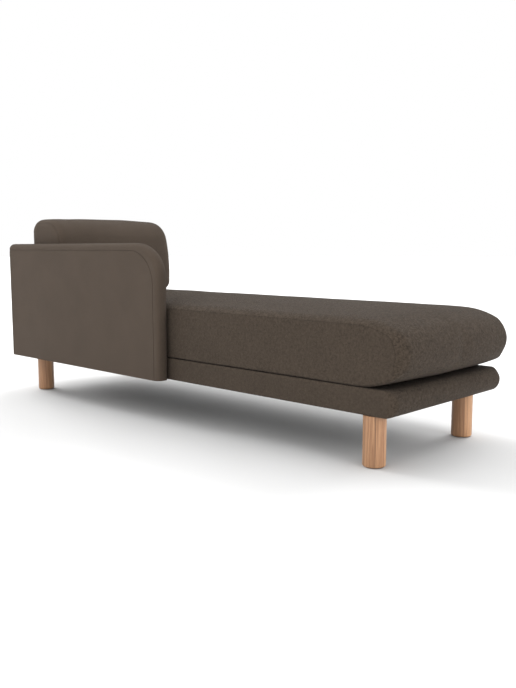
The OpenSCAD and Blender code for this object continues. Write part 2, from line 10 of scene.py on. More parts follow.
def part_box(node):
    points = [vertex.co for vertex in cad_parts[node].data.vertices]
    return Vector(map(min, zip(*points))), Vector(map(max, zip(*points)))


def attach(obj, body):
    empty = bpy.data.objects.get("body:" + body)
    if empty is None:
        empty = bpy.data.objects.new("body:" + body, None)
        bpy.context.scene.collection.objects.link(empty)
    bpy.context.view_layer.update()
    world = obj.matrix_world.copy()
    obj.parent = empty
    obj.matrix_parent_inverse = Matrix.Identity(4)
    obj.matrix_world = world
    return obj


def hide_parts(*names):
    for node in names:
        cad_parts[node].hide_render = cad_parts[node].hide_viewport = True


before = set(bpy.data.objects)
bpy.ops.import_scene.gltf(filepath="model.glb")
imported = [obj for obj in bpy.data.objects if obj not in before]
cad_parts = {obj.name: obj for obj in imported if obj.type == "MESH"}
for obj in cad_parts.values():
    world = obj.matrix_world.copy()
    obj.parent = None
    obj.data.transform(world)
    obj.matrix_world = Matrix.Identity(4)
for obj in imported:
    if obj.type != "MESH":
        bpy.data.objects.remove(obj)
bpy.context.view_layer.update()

bl_info = {
    "name": "Chaise Longue",
    "version": (1, 0, 0),
    "blender": (4, 5, 0),
    "location": "View3D > Sidebar > Chaise",
    "description": "Builds the upholstery, cushions, legs and finishes of a chaise longue",
    "category": "Object",
}

SEAT_LOW, SEAT_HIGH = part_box("seat_cover")
BACK_LOW, BACK_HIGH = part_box("back_cushion_cover")
ARM_LOW, ARM_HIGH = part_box("arm_cover")
PANEL_LOW, PANEL_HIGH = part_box("back_cover")
BASE_LOW, BASE_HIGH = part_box("base_cover")
DUST_LOW, DUST_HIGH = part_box("dust_cover")


# ---- Sizes and colours that a user would change ----


def length(name, description, default):
    return bpy.props.FloatProperty(
        name=name, description=description, default=default, unit="LENGTH"
    )


def tint(name, description, default):
    return bpy.props.FloatVectorProperty(
        name=name, description=description, default=default, size=3, subtype="COLOR"
    )


class ChaiseBase(bpy.types.PropertyGroup):
    edge: length("Edge", "Rounding of the long edges", 0.0085)
    nose_edge: length("Nose edge", "Rounding of the ends of the half-round foot end", 0.026)


class ChaiseSeat(bpy.types.PropertyGroup):
    nose_depth: length("Nose depth", "Length of the curve at the foot end", 0.169)
    nose_radius: length("Nose radius", "Radius at the tip of the foot end", 0.082)
    edge: length("Edge", "Rounding of the edges of the cushion", 0.042)
    crease: bpy.props.FloatProperty(
        name="Crease",
        description="Angle between the flat sides and the padded edge at their seams",
        default=math.radians(34),
        subtype="ANGLE",
    )
    nose_softness: bpy.props.FloatProperty(
        name="Nose softness",
        description="How much wider the padded edge is at the tip of the foot end",
        default=0.4,
    )
    nose_bulge: length(
        "Nose bulge", "How far the middle of the foot end stands out over its ends", 0.012
    )
    crown: length("Crown", "Rise of the middle of the top over its edges", 0.007)
    give: length("Give", "Furthest that the filling pushes the cover out", 0.010)


class ChaiseBack(bpy.types.PropertyGroup):
    shoulder_depth: length("Shoulder depth", "Depth of the sloping front shoulder", 0.132)
    shoulder_height: length("Shoulder height", "Height of the sloping front shoulder", 0.227)
    shoulder_radius: length("Shoulder radius", "Radius at the top of the shoulder", 0.117)
    rear_radius: length("Rear radius", "Radius of the upper rear edge", 0.060)
    low_radius: length("Lower radius", "Radius of the lower edges", 0.05)
    edge: length("Edge", "Rounding of the ends of the cushion", 0.042)
    seam: length("Seam", "Distance from the flat ends to their seams", 0.026)
    give: length("Give", "Furthest that the filling pushes the cover out", 0.014)


class ChaisePanels(bpy.types.PropertyGroup):
    roll: length("Roll", "Radius of the padded roll round the free edges", 0.0275)
    corner: length("Corner", "Outer radius of the round upper corner, next to the end", 0.11)
    corner_top: length(
        "Corner top", "Outer radius of the round upper corner, next to the top", 0.165
    )
    corner_seam: length("Corner seam", "Radius of the seam at the round upper corner", 0.13)
    fold: length("Fold", "Rounding of the folded rear and lower edges", 0.002)
    groove: length("Groove", "Depth of the seams", 0.0022)
    swell: length("Swell", "How far the roll stands out beside the faces", 0.003)


class ChaiseLegs(bpy.types.PropertyGroup):
    rounding: length("Rounding", "Rounding of the lower rim of a leg", 0.0055)
    sides: bpy.props.IntProperty(
        name="Sides", description="Facets round a leg", default=72, min=24, max=120
    )


class ChaiseColours(bpy.types.PropertyGroup):
    cloth: tint("Cloth", "Main colour of the cloth", (0.0856, 0.0645, 0.0490))
    felted: tint(
        "Felted cloth", "Colour of the brushed cloth of seat and base", (0.0632, 0.0476, 0.0352)
    )
    wood: tint("Wood", "Light colour of the leg wood", (0.505, 0.277, 0.143))
    grain: tint("Grain", "Dark colour of the leg wood", (0.235, 0.109, 0.052))
    floor: tint("Floor", "Colour of the floor", (0.48, 0.48, 0.48))


# ---- Shader expressions ----


class Value:
    """A shader socket that takes part in Python expressions."""

    def __init__(self, finish, socket):
        self.finish = finish
        self.socket = socket

    def __add__(self, other):
        return self.finish.math("ADD", self, other)

    def __sub__(self, other):
        return self.finish.math("SUBTRACT", self, other)

    def __rsub__(self, other):
        return self.finish.math("SUBTRACT", other, self)

    def __mul__(self, other):
        return self.finish.math("MULTIPLY", self, other)

    def __pow__(self, other):
        return self.finish.math("POWER", self, other)

    __radd__ = __add__
    __rmul__ = __mul__


class Finish:
    """One material and the nodes that make it."""

    def __init__(self, name):
        self.material = bpy.data.materials.new(name)
        self.material.use_nodes = True
        self.tree = self.material.node_tree
        self.tree.nodes.clear()

    def node(self, kind, settings=None, sockets=None, output=0):
        made = self.tree.nodes.new(kind)
        for name, value in (settings or {}).items():
            setattr(made, name, value)
        for name, value in (sockets or {}).items():
            if isinstance(value, Value):
                self.tree.links.new(value.socket, made.inputs[name])
            else:
                made.inputs[name].default_value = value
        return Value(self, made.outputs[output]) if made.outputs else None

    def math(self, operation, *values):
        return self.node("ShaderNodeMath", {"operation": operation}, dict(enumerate(values)))

    def place(self):
        return self.node("ShaderNodeTexCoord", output="Object")

    def axes(self, vector):
        split = self.node("ShaderNodeSeparateXYZ", sockets={0: vector}).socket.node
        return [Value(self, socket) for socket in split.outputs]

    def noise(self, place, scale, detail, roughness=0.55, distortion=0.0):
        sockets = {
            "Vector": place,
            "Scale": scale,
            "Detail": detail,
            "Roughness": roughness,
            "Distortion": distortion,
        }
        return self.node("ShaderNodeTexNoise", sockets=sockets)

    def drawn(self, place, scales, detail, roughness=0.55, distortion=0.0):
        """Noise with a scale of its own along each axis, so that it is drawn out into streaks."""
        settings = {"operation": "MULTIPLY"}
        stretched = self.node("ShaderNodeVectorMath", settings, {0: place, 1: scales})
        return self.noise(stretched, 1, detail, roughness, distortion)

    def band(self, value, low, high):
        sockets = {"Value": value, "From Min": low, "From Max": high}
        return self.node("ShaderNodeMapRange", {"interpolation_type": "SMOOTHSTEP"}, sockets)

    def mix(self, factor, first, second):
        sockets = {0: factor, 6: first, 7: second}
        return self.node("ShaderNodeMix", {"data_type": "RGBA"}, sockets, output=2)

    def surface(self, colour, roughness, height, distance, constants=None):
        """The finished material, with a relief of the given height times distance."""
        sockets = {"Base Color": colour, "Roughness": roughness, **(constants or {})}
        relief = {"Distance": distance, "Height": height}
        sockets["Normal"] = self.node("ShaderNodeBump", sockets=relief)
        shaded = self.node("ShaderNodeBsdfPrincipled", sockets=sockets)
        self.node("ShaderNodeOutputMaterial", sockets={"Surface": shaded})
        return self.material


def shade(colour, factor):
    return (colour[0] * factor, colour[1] * factor, colour[2] * factor, 1)


# ---- Finishes ----


def upholstery(name, colour, mottle, yarn, seam_shade=0.62):
    """Woven cloth: crossing yarns, flecks of lighter and darker fibre, and painted shade along the
    seams.

    mottle is how strong the flecks are, yarn the distance from yarn to yarn, and seam_shade how
    dark the painted shade in the creases of the seams is."""
    finish = Finish(name)
    place = finish.place()
    x, y, z = (finish.math("SINE", axis * (math.tau / yarn)) for axis in finish.axes(place))
    facing = finish.axes(finish.node("ShaderNodeTexCoord", output="Normal"))
    nx, ny, nz = (finish.math("ABSOLUTE", axis) ** 4 for axis in facing)
    weave = nx * y * z + ny * x * z + nz * x * y
    clouds = finish.noise(place, scale=9, detail=2)
    tufts = finish.noise(place, scale=130, detail=4, roughness=0.65, distortion=0.6)
    fibres = finish.noise(place, scale=620, detail=2, roughness=0.7, distortion=1.5)
    seam = finish.node("ShaderNodeAttribute", {"attribute_name": "seam"}, output="Fac")
    brushed = mottle * (1 - nx * 0.5)
    fleck = ((tufts - 0.5) + (fibres - 0.5) * 0.8) * brushed + (clouds - 0.5) * 0.16
    amount = finish.band(fleck + weave * 0.05 + 0.5, low=0.1, high=0.9)
    # The seams are darkened with painted shade, which stands in for the shade that falls in their
    # creases.
    dark, light, seam_crease_shade = shade(colour, 0.66), shade(colour, 1.42), shade(colour, 0.28)
    worn = finish.mix(amount, dark, light)
    seam_shaded = finish.mix(seam * seam_shade, worn, seam_crease_shade)
    roughness = 0.84 + (fibres - 0.5) * 0.12
    height = weave * 0.5 + tufts * brushed * 0.9 + fibres * 0.9 - seam * 1.2
    soft = {"Sheen Weight": 0.03, "Sheen Roughness": 0.5, "Specular IOR Level": 0.12}
    return finish.surface(seam_shaded, roughness, height, distance=0.0006, constants=soft)


def leg_wood(name, light, dark):
    """Oiled hardwood turned along its grain: long streaks, fine pores and a soft gloss."""
    finish = Finish(name)
    place = finish.place()
    wave = finish.drawn(place, (14, 14, 1.6), detail=2, roughness=0.5)
    streaks = finish.drawn(place, (95, 95, 2.4), detail=5, roughness=0.62, distortion=0.35)
    lines = finish.drawn(place, (330, 330, 5), detail=3, roughness=0.6)
    pores = finish.drawn(place, (1500, 1500, 45), detail=2, roughness=0.5)
    rings = finish.math("SINE", streaks * 26 + wave * 9) * 0.5 + 0.5
    figure = finish.band(streaks * 0.7 + lines * 0.35 + rings * 0.16, low=0.42, high=0.74)
    toned = finish.mix(figure, shade(dark, 1.0), shade(light, 1.0))
    pale = finish.mix(finish.band(wave, low=0.35, high=0.75) * 0.4, toned, shade(light, 1.12))
    veins = finish.drawn(place, (120, 120, 1.1), detail=2, roughness=0.5, distortion=0.2)
    vein = finish.band(veins, low=0.56, high=0.60) * (1 - finish.band(veins, low=0.60, high=0.64))
    veined = finish.mix(vein * 0.65, pale, shade(dark, 0.55))
    pore = finish.band(pores, low=0.62, high=0.72)
    pitted = finish.mix(pore * 0.45, veined, shade(dark, 0.62))
    roughness = 0.42 + (lines - 0.5) * 0.2 + pore * 0.2
    height = lines * 0.35 - pore * 0.8 - vein * 0.5
    return finish.surface(pitted, roughness, height, distance=0.00025)


def frame_timber(name):
    """Plain sawn softwood of the hidden frames."""
    finish = Finish(name)
    place = finish.place()
    dark, light = (0.33, 0.2, 0.1, 1), (0.6, 0.43, 0.26, 1)
    grain = finish.drawn(place, (6, 6, 70), detail=4, roughness=0.6, distortion=0.4)
    fine = finish.drawn(place, (60, 60, 420), detail=2, roughness=0.5)
    toned = finish.mix(finish.band(grain * 0.8 + fine * 0.2, low=0.3, high=0.7), dark, light)
    roughness = 0.68 + (fine - 0.5) * 0.2
    return finish.surface(toned, roughness, grain + fine * 0.5, distance=0.0004)


def hardboard(name):
    """Pressed brown board with short dark fibres."""
    finish = Finish(name)
    place = finish.place()
    dark, light = (0.12, 0.065, 0.032, 1), (0.24, 0.14, 0.075, 1)
    fibres = finish.noise(place, scale=320, detail=4, roughness=0.7, distortion=1.2)
    toned = finish.mix(finish.band(fibres, low=0.35, high=0.65), dark, light)
    return finish.surface(toned, 0.55 + (fibres - 0.5) * 0.3, fibres, distance=0.0002)


def steel(name, colour):
    """Plated steel with fine scratches and duller patches."""
    finish = Finish(name)
    place = finish.place()
    dark, light = shade(colour, 0.72), shade(colour, 1.1)
    patches = finish.noise(place, scale=60, detail=3)
    scratches = finish.drawn(place, (1800, 240, 1800), detail=2)
    toned = finish.mix(finish.band(patches, low=0.3, high=0.7), dark, light)
    roughness = 0.3 + patches * 0.2 + (scratches - 0.5) * 0.2
    metal = {"Metallic": 1.0}
    return finish.surface(toned, roughness, scratches, distance=0.00005, constants=metal)


def felt(name, colour):
    """Matted grey wool felt."""
    finish = Finish(name)
    place = finish.place()
    dark, light = shade(colour, 0.55), shade(colour, 1.35)
    fibres = finish.noise(place, scale=700, detail=4, roughness=0.7, distortion=2.0)
    clumps = finish.noise(place, scale=90, detail=3)
    amount = finish.band(fibres * 0.6 + clumps * 0.4, low=0.35, high=0.65)
    toned = finish.mix(amount, dark, light)
    roughness = 0.94 + (clumps - 0.5) * 0.08
    soft = {"Sheen Weight": 0.2}
    return finish.surface(toned, roughness, fibres + clumps, distance=0.0006, constants=soft)


def dust_cloth(name):
    """Thin black bonded cloth with embossed dots and stray fibres."""
    finish = Finish(name)
    place = finish.place()
    dark, light = (0.012, 0.012, 0.013, 1), (0.045, 0.044, 0.043, 1)
    dot_spacing = 0.0022
    x, y, _ = finish.axes(place)
    waves = [finish.math("SINE", axis * (math.tau / dot_spacing)) for axis in (x, y)]
    dots = waves[0] * waves[1]
    fibres = finish.noise(place, scale=420, detail=4, roughness=0.7, distortion=1.8)
    toned = finish.mix(finish.band(fibres + dots * 0.12, low=0.3, high=0.7), dark, light)
    roughness, height = 0.9 + (fibres - 0.5) * 0.1, dots * 0.4 + fibres
    soft = {"Sheen Weight": 0.1}
    return finish.surface(toned, roughness, height, distance=0.0002, constants=soft)


def studio_floor(name, colour):
    """Pale matt floor, hardly mottled."""
    finish = Finish(name)
    mottle = finish.noise(finish.place(), scale=3, detail=4)
    toned = finish.mix(mottle, shade(colour, 0.99), shade(colour, 1.01))
    return finish.surface(toned, 0.9 + (mottle - 0.5) * 0.04, mottle, distance=0.0001)


# ---- Making meshes ----

TINY = 1e-5
ARC_TURN = math.radians(9)

# Rows of a padded edge: over the face, close to the seam and round the roll.
FACE_ROWS = (-0.024, -0.012)
SEAM_ROWS = (-0.006, -0.0028, -0.0012, 0.0, 0.0012, 0.0028, 0.006)
SEAM_ROOM = 0.0085  # no other row but the last lies nearer to a seam
ROLL_ROWS = 7
GROOVE_WIDTH = 0.0026


def side_view(point, across):
    """The place of a point of a side view, which looks along X."""
    return Vector((across, point.x, point.y))


def front_view(point, across):
    """The place of a point of a front view, which looks along Y."""
    return Vector((point.x, across, point.y))


def rounded(corners, step):
    """Points and outward directions along a closed line whose corners are (a, b, radius)."""
    found = []
    ends = []
    for i, (a, b, radius) in enumerate(corners):
        here = Vector((a, b))
        before = (here - Vector(corners[i - 1][:2])).normalized()
        after = (Vector(corners[(i + 1) % len(corners)][:2]) - here).normalized()
        angle = -before.angle_signed(after)
        tangent = radius * math.tan(abs(angle) / 2)
        ends.append((here - before * tangent, here + after * tangent, before, angle, radius))
    for i, (start, end, before, angle, radius) in enumerate(ends):
        side = Vector((before.y, -before.x))
        centre = start - side * radius
        pieces = max(2, math.ceil(abs(angle) / ARC_TURN))
        for k in range(pieces + 1):
            a = angle * k / pieces
            cos, sin = math.cos(a), math.sin(a)
            out = Vector((side.x * cos - side.y * sin, side.x * sin + side.y * cos))
            found.append((centre + out * radius, out))
        run = ends[(i + 1) % len(ends)][0] - end
        if run.length < TINY:
            found.pop()
            continue
        parts = max(1, round(run.length / step))
        out = Vector((run.y, -run.x)).normalized()
        found.extend((end + run * (k / parts), out) for k in range(1, parts))
    return found


def half_section(radius, seam_at, groove, face_rows=FACE_ROWS, crease=0.0):
    """Rows of a padded edge, from inside the face to the widest line, as (inset, depth, seam mark).

    seam_at is how far round the roll the seam lies, measured along the cloth from the face, and
    crease is the angle at which the roll leaves the face."""
    quarter = radius * (math.pi / 2 - crease)
    roll = (quarter * k / ROLL_ROWS for k in range(1, ROLL_ROWS + 1))
    places = {0.0, *face_rows, *roll}
    if groove:
        places = {p for p in places if abs(p - seam_at) > SEAM_ROOM or p == quarter}
        places |= {seam_at + step for step in SEAM_ROWS}
    rows = []
    for place in sorted(places):
        turned = crease + max(0.0, place) / radius
        dip = groove * math.exp(-abs(place - seam_at) / GROOVE_WIDTH) if groove else 0.0
        inset = radius * (1 - math.sin(turned)) + max(0.0, -place) + dip * math.sin(turned)
        depth = radius * (math.cos(crease) - math.cos(turned)) + dip * math.cos(turned)
        rows.append((inset, depth, float(bool(groove) and place == seam_at)))
    return rows


def grid_cap(bm, face, axes, step):
    """Cuts a flat end face into a grid that follows the points of its border."""
    closest, last, snap = step * 0.8, step * 0.5, step * 0.1
    faces = [face]
    for axis in axes:
        normal = Vector([float(k == axis) for k in range(3)])
        levels = sorted({round(v.co[axis], 6) for f in faces for v in f.verts})
        kept = [levels[0]]
        for level in levels[1:]:
            if level - kept[-1] > closest and levels[-1] - level > last:
                kept.append(level)
        for level in kept[1:]:
            parts = {part for f in faces for part in (f, *f.edges, *f.verts)}
            cut = bmesh.ops.bisect_plane(
                bm, geom=list(parts), dist=snap, plane_co=normal * level, plane_no=normal
            )
            faces = [part for part in cut["geom"] if isinstance(part, bmesh.types.BMFace)]


def shell(outline, low, high, section, columns, place, step, lift=None, soften=None):
    """A closed form with the outline as its view, from low to high across, with padded edges.

    place(point, across) turns a point of the view into one in space. lift(point, outward, across)
    moves the outline outwards, and across is -1 to 1. soften(point, outward) gives factors for the
    width and the depth of the padded edge."""
    bm = bmesh.new()
    slot = bm.verts.layers.int.new("slot")
    seam = bm.verts.layers.float.new("seam")
    rings = [(inset, depth, 0.0, mark) for inset, depth, mark in section]
    deepest = section[-1][1]
    rings += [(0.0, deepest, k / columns, 0.0) for k in range(1, columns)]
    rings += [(inset, depth, 1.0, mark) for inset, depth, mark in reversed(section)]
    middle, half = (low + high) / 2, (high - low) / 2

    def put(vert, ring):
        inset, depth, along, mark = ring
        point, out = outline[vert[slot]]
        wider, deeper = soften(point, out) if soften else (1.0, 1.0)
        start, end = low + depth * deeper, high - depth * deeper
        across = start + (end - start) * along
        inset *= wider
        if lift:
            inset -= lift(point, out, (across - middle) / half)
        vert.co = place(point - out * inset, across)
        vert[seam] = mark

    loop = [bm.verts.new() for _ in outline]
    for i, vert in enumerate(loop):
        vert[slot] = i
        put(vert, rings[0])
    start = bm.faces.new(loop)
    edges = list(start.edges)
    for ring in rings[1:]:
        made = bmesh.ops.extrude_edge_only(bm, edges=edges)["geom"]
        edges = [part for part in made if isinstance(part, bmesh.types.BMEdge)]
        edges = [edge for edge in edges if edge.is_boundary]
        for vert in {vert for edge in edges for vert in edge.verts}:
            put(vert, ring)
    end = bmesh.ops.edgeloop_fill(bm, edges=edges)["faces"][0]
    bm.normal_update()
    across_axis = max(range(3), key=lambda k: abs(start.normal[k]))
    for cap in (start, end):
        grid_cap(bm, cap, [k for k in range(3) if k != across_axis], step)
    bmesh.ops.recalc_face_normals(bm, faces=bm.faces)
    return bm


def cut_off(bm, point, outward, fold):
    """Cuts the form off at a plane, closes it and rounds the new edge as a tight fold of cloth."""
    parts = list(bm.verts) + list(bm.edges) + list(bm.faces)
    bmesh.ops.bisect_plane(
        bm, geom=parts, dist=TINY, plane_co=point, plane_no=outward, clear_outer=True
    )
    border = [edge for edge in bm.edges if edge.is_boundary]
    filled = bmesh.ops.edgeloop_fill(bm, edges=border)["faces"]
    rim = [edge for face in filled for edge in face.edges]
    bmesh.ops.bevel(
        bm, geom=rim, offset=fold, segments=3, profile=0.5, affect="EDGES", material=-1
    )


def finished(bm, name, body, material, sharp=None):
    """The mesh as an object at the origin that rides on a body."""
    bmesh.ops.recalc_face_normals(bm, faces=bm.faces)
    mesh = bpy.data.meshes.new(name)
    bm.to_mesh(mesh)
    bm.free()
    piece = bpy.data.objects.new(name, mesh)
    bpy.context.scene.collection.objects.link(piece)
    mesh.polygons.foreach_set("use_smooth", [True] * len(mesh.polygons))
    if sharp:
        mesh.set_sharp_from_angle(angle=sharp)
    mesh.materials.append(material)
    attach(piece, body)
    return piece


def subdivided(piece):
    modifier = piece.modifiers.new("Smooth cloth", "SUBSURF")
    modifier.levels = modifier.render_levels = 1


def moved(piece, how):
    """Puts each point of a piece at how(point, normal)."""
    mesh = piece.data
    places = [how(vert.co.copy(), vert.normal.copy()) for vert in mesh.vertices]
    mesh.vertices.foreach_set("co", [number for place in places for number in place])
    mesh.update()


def smooth_step(value, low, high):
    t = min(max((value - low) / (high - low), 0), 1)
    return t * t * (3 - 2 * t)


def slack(point, size, height):
    """Gentle unevenness of stuffed cloth."""
    return noise.noise(point / size) * height


def blown(piece, reach, pressure=4.0, frames=20):
    """Lets the filling push the cover out between its seams, by reach where it gives most."""
    nearly_all = 0.995
    scene = bpy.context.scene
    seams = piece.data.attributes["seam"].data
    group = piece.vertex_groups.new(name="held")
    group.add([i for i, seam in enumerate(seams) if seam.value > 0.5], 1.0, "REPLACE")
    cloth = piece.modifiers.new("Filling", "CLOTH")
    settings = cloth.settings
    settings.quality = 4
    settings.mass = 0.25
    settings.tension_stiffness = settings.compression_stiffness = 18
    settings.bending_stiffness = 2.0
    settings.use_pressure = True
    settings.uniform_pressure_force = pressure
    settings.vertex_group_mass = "held"
    settings.effector_weights.gravity = 0
    cloth.point_cache.frame_start, cloth.point_cache.frame_end = 1, frames
    for number in range(1, frames + 1):
        scene.frame_set(number)
    evaluated = piece.evaluated_get(bpy.context.evaluated_depsgraph_get())
    pushed = [vert.co.copy() for vert in evaluated.to_mesh().vertices]
    evaluated.to_mesh_clear()
    piece.modifiers.remove(cloth)
    piece.vertex_groups.remove(group)
    scene.frame_set(1)
    moves = [after - vert.co for after, vert in zip(pushed, piece.data.vertices)]
    longest = sorted(move.length for move in moves)[int(len(moves) * nearly_all)]
    for vert, move in zip(piece.data.vertices, moves):
        vert.co += move * (reach / max(longest, move.length))
    piece.data.update()


# ---- Pieces ----

CUT_ROOM = 0.12  # how far a form runs on past the plane that cuts it off
CUT_RADIUS = 0.08  # radius of the corners that are cut off
OPEN_SIDE = 0.014  # how far seat and base reach past the solids on the open side


def base_upholstery(settings, material):
    low, high = BASE_LOW, BASE_HIGH
    half = (high.z - low.z) / 2
    front, rear = low.y, high.y + CUT_ROOM
    sides = ((front, low.z), (rear, low.z), (rear, high.z), (front, high.z))
    corners = [(y, z, half) for y, z in sides]
    section = half_section(settings.edge, seam_at=0.0, groove=0.0, face_rows=())
    taut = 0.0006  # how far the cloth lies under its mean surface

    def soften(_, out):
        factor = 1 + (settings.nose_edge / settings.edge - 1) * smooth_step(-out.x, 0.0, 0.9)
        return factor, factor

    bm = shell(
        rounded(corners, step=0.022), low.x, high.x + OPEN_SIDE, section, columns=28,
        place=side_view, step=0.02, soften=soften,
    )
    cut_off(bm, Vector((0, high.y, 0)), Vector((0, 1, 0)), fold=0.004)
    piece = finished(bm, "base_upholstery", "frame", material)

    def uneven(point, normal):
        beside = smooth_step(abs(normal.x) + max(0, -normal.y), 0.2, 0.9)
        return point + normal * (slack(point, size=0.13, height=0.0011) - taut) * beside

    moved(piece, uneven)
    subdivided(piece)
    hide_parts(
        "base_cover", "deck_foam", "side_foam_near", "side_foam_far", "nose_foam",
        "spring_felt",
    )


def round_corner(end, top, inward, settings):
    """The two corners that make the easy curve from the upright end to the top of a panel.

    inward is 1 or -1, the way that the top runs from the end."""
    split = math.radians(50)
    first = settings.corner * math.tan(split / 2)
    second = settings.corner_top * math.tan((math.pi / 2 - split) / 2)
    along, up = (first + second) * math.sin(split), (first + second) * math.cos(split)
    return [(end, top - up, settings.corner), (end + inward * along, top, settings.corner_top)]


def seam_inset(point, out, centre, inward, settings):
    """Distance from the outline inwards to the seam, which turns on a radius of its own."""
    across = point - centre
    along = across.dot(out)
    beyond = along**2 - across.length_squared + settings.corner_seam**2
    if beyond > 0:
        gap = along - math.sqrt(beyond)
        met = across - out * gap
        if met.x * inward < 0 and met.y > 0:
            return gap
    return settings.roll


def panel(
    name, settings, material, *, corners, low, high, place, outer, cuts, corner, inward, free, nodes
):
    """An upholstered panel with a padded roll round its free edges and flat folds elsewhere.

    outer is the axis across the panel. free(point) is how far a point is from what stands against
    the panel, 0 to 1. corner is where the end and the top would meet, and inward is 1 or -1, the
    way that the top runs from there."""
    section = half_section(settings.roll, seam_at=0.0, groove=settings.groove)
    back = settings.roll + settings.corner_seam
    centre = corner + Vector((inward * back, -back))

    def soften(point, out):
        return seam_inset(point, out, centre, inward, settings) / settings.roll, 1.0

    bm = shell(
        rounded(corners, step=0.016), low, high, section, columns=1,
        place=place, step=0.018, soften=soften,
    )
    for point, outward, fold in cuts:
        cut_off(bm, point, outward, fold)
    piece = finished(bm, name, "frame", material)
    middle = (low + high) / 2

    def stuffed(point, normal):
        facing = abs(normal[outer])
        flat = smooth_step(facing, 0.86, 0.995)
        puff = math.sin(2 * math.acos(min(1, facing))) * settings.swell * free(point)
        across = math.copysign(1, point[outer] - middle)
        point[outer] += across * puff * (1 - flat)
        broad = slack(point, size=0.17, height=0.0013) * flat
        rough = broad + slack(point, size=0.05, height=0.0005)
        return point + normal * rough * free(point)

    moved(piece, stuffed)
    subdivided(piece)
    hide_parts(*nodes)


def arm_upholstery(settings, material):
    low, high = ARM_LOW, ARM_HIGH
    inner = high.x - 0.02

    def free(point):
        if point.x < inner:
            return 1.0
        over_seat = smooth_step(point.z, SEAT_HIGH.z, SEAT_HIGH.z + 0.05)
        return over_seat * smooth_step(BACK_LOW.y - point.y, 0.0, 0.08)

    panel(
        "arm_upholstery", settings, material,
        corners=[
            (low.y, low.z - CUT_ROOM, CUT_RADIUS),
            (high.y + CUT_ROOM, low.z - CUT_ROOM, CUT_RADIUS),
            (high.y + CUT_ROOM, high.z, CUT_RADIUS),
            *reversed(round_corner(low.y, high.z, 1, settings)),
        ],
        low=low.x, high=high.x, place=side_view, outer=0,
        cuts=[
            (Vector((0, high.y, 0)), Vector((0, 1, 0)), settings.fold),
            (Vector((0, 0, low.z)), Vector((0, 0, -1)), settings.fold),
        ],
        corner=Vector((low.y, high.z)), inward=1, free=free,
        nodes=("arm_cover", "arm_face_foam", "arm_edge_roll"),
    )


def back_upholstery(settings, material):
    low, high = PANEL_LOW, PANEL_HIGH
    inner, side_fold = low.y + 0.02, 0.003

    def free(point):
        if point.y > inner:
            return 1.0
        return smooth_step(point.z, BACK_HIGH.z, BACK_HIGH.z + 0.03)

    panel(
        "back_upholstery", settings, material,
        corners=[
            (low.x - CUT_ROOM, low.z - CUT_ROOM, CUT_RADIUS),
            (high.x, low.z - CUT_ROOM, CUT_RADIUS),
            *round_corner(high.x, high.z, -1, settings),
            (low.x - CUT_ROOM, high.z, CUT_RADIUS),
        ],
        low=low.y, high=high.y, place=front_view, outer=1,
        cuts=[
            (Vector((low.x, 0, 0)), Vector((-1, 0, 0)), side_fold),
            (Vector((0, 0, low.z)), Vector((0, 0, -1)), settings.fold),
        ],
        corner=Vector((high.x, high.z)), inward=-1, free=free,
        nodes=("back_cover", "back_face_foam", "back_edge_roll"),
    )


def seat_cushion(settings, material):
    low, high = SEAT_LOW, SEAT_HIGH
    slim, tuck = 0.003, -0.003  # how far the form starts inside the solids, at the arm and the tip
    front, rear, rear_radius = low.y + tuck, high.y - 0.003, 0.042
    half = (high.z - low.z) / 2
    middle = (high.z + low.z) / 2
    depth, tip = settings.nose_depth - tuck, settings.nose_radius
    arc = (depth**2 + half**2 - 2 * depth * tip) / (2 * (half - tip))
    lean = math.atan((depth - tip) / (arc - half))
    join = Vector((front + depth - arc * math.sin(lean), half - arc + arc * math.cos(lean)))
    along = Vector((math.cos(lean), math.sin(lean)))
    upper = join + along * ((half - join.y) / along.y)
    lower = join - along * ((join.x - front) / along.x)
    corners = [
        (front, middle - lower.y, tip),
        (upper.x, low.z, arc),
        (rear, low.z, rear_radius),
        (rear, high.z, rear_radius),
        (upper.x, high.z, arc),
        (front, middle + lower.y, tip),
    ]
    section = half_section(
        settings.edge, seam_at=0.0, groove=0.0017, face_rows=(-0.008,), crease=settings.crease
    )
    pressed_flat = 0.68  # how much of the padded edge the weight takes away underneath
    deeper_share = 0.12  # how much of the softer tip also goes into its depth

    def lift(point, out, across):
        pressed = 1 - smooth_step(point.x, BACK_LOW.y - 0.1, BACK_LOW.y)
        crowned = settings.crown * max(0, out.y + 0.25) * (1 - across * across) * pressed
        return crowned - settings.nose_bulge * smooth_step(-out.x, 0.05, 1.0) * abs(across) ** 5

    def soften(_, out):
        below = 1 - pressed_flat * smooth_step(-out.y, 0.5, 0.95)
        softer = settings.nose_softness * smooth_step(-out.x, 0.34, 0.82)
        return (1 + softer) * below, (1 + deeper_share * softer) * below

    bm = shell(
        rounded(corners, step=0.018), low.x + slim, high.x + OPEN_SIDE, section, columns=34,
        place=side_view, step=0.02, lift=lift, soften=soften,
    )
    piece = finished(bm, "seat_cushion_pad", "seat_cushion", material)
    blown(piece, settings.give)
    arm_front = ARM_LOW.y - 0.03
    easing = 0.05

    def settled(point, normal):
        rough = slack(point, size=0.16, height=0.0016) + slack(point, size=0.05, height=0.0005)
        point += normal * rough
        point.z = max(point.z, low.z)
        under_back = smooth_step(point.y, BACK_LOW.y - easing, BACK_LOW.y)
        if point.z > high.z:
            point.z -= (point.z - high.z) * under_back
        beside_arm = smooth_step(point.y, arm_front - easing, arm_front)
        if point.x < low.x:
            point.x += (low.x - point.x) * beside_arm
        point.y = min(point.y, high.y)
        return point

    moved(piece, settled)
    subdivided(piece)
    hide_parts("seat_core", "seat_topper", "seat_cover")


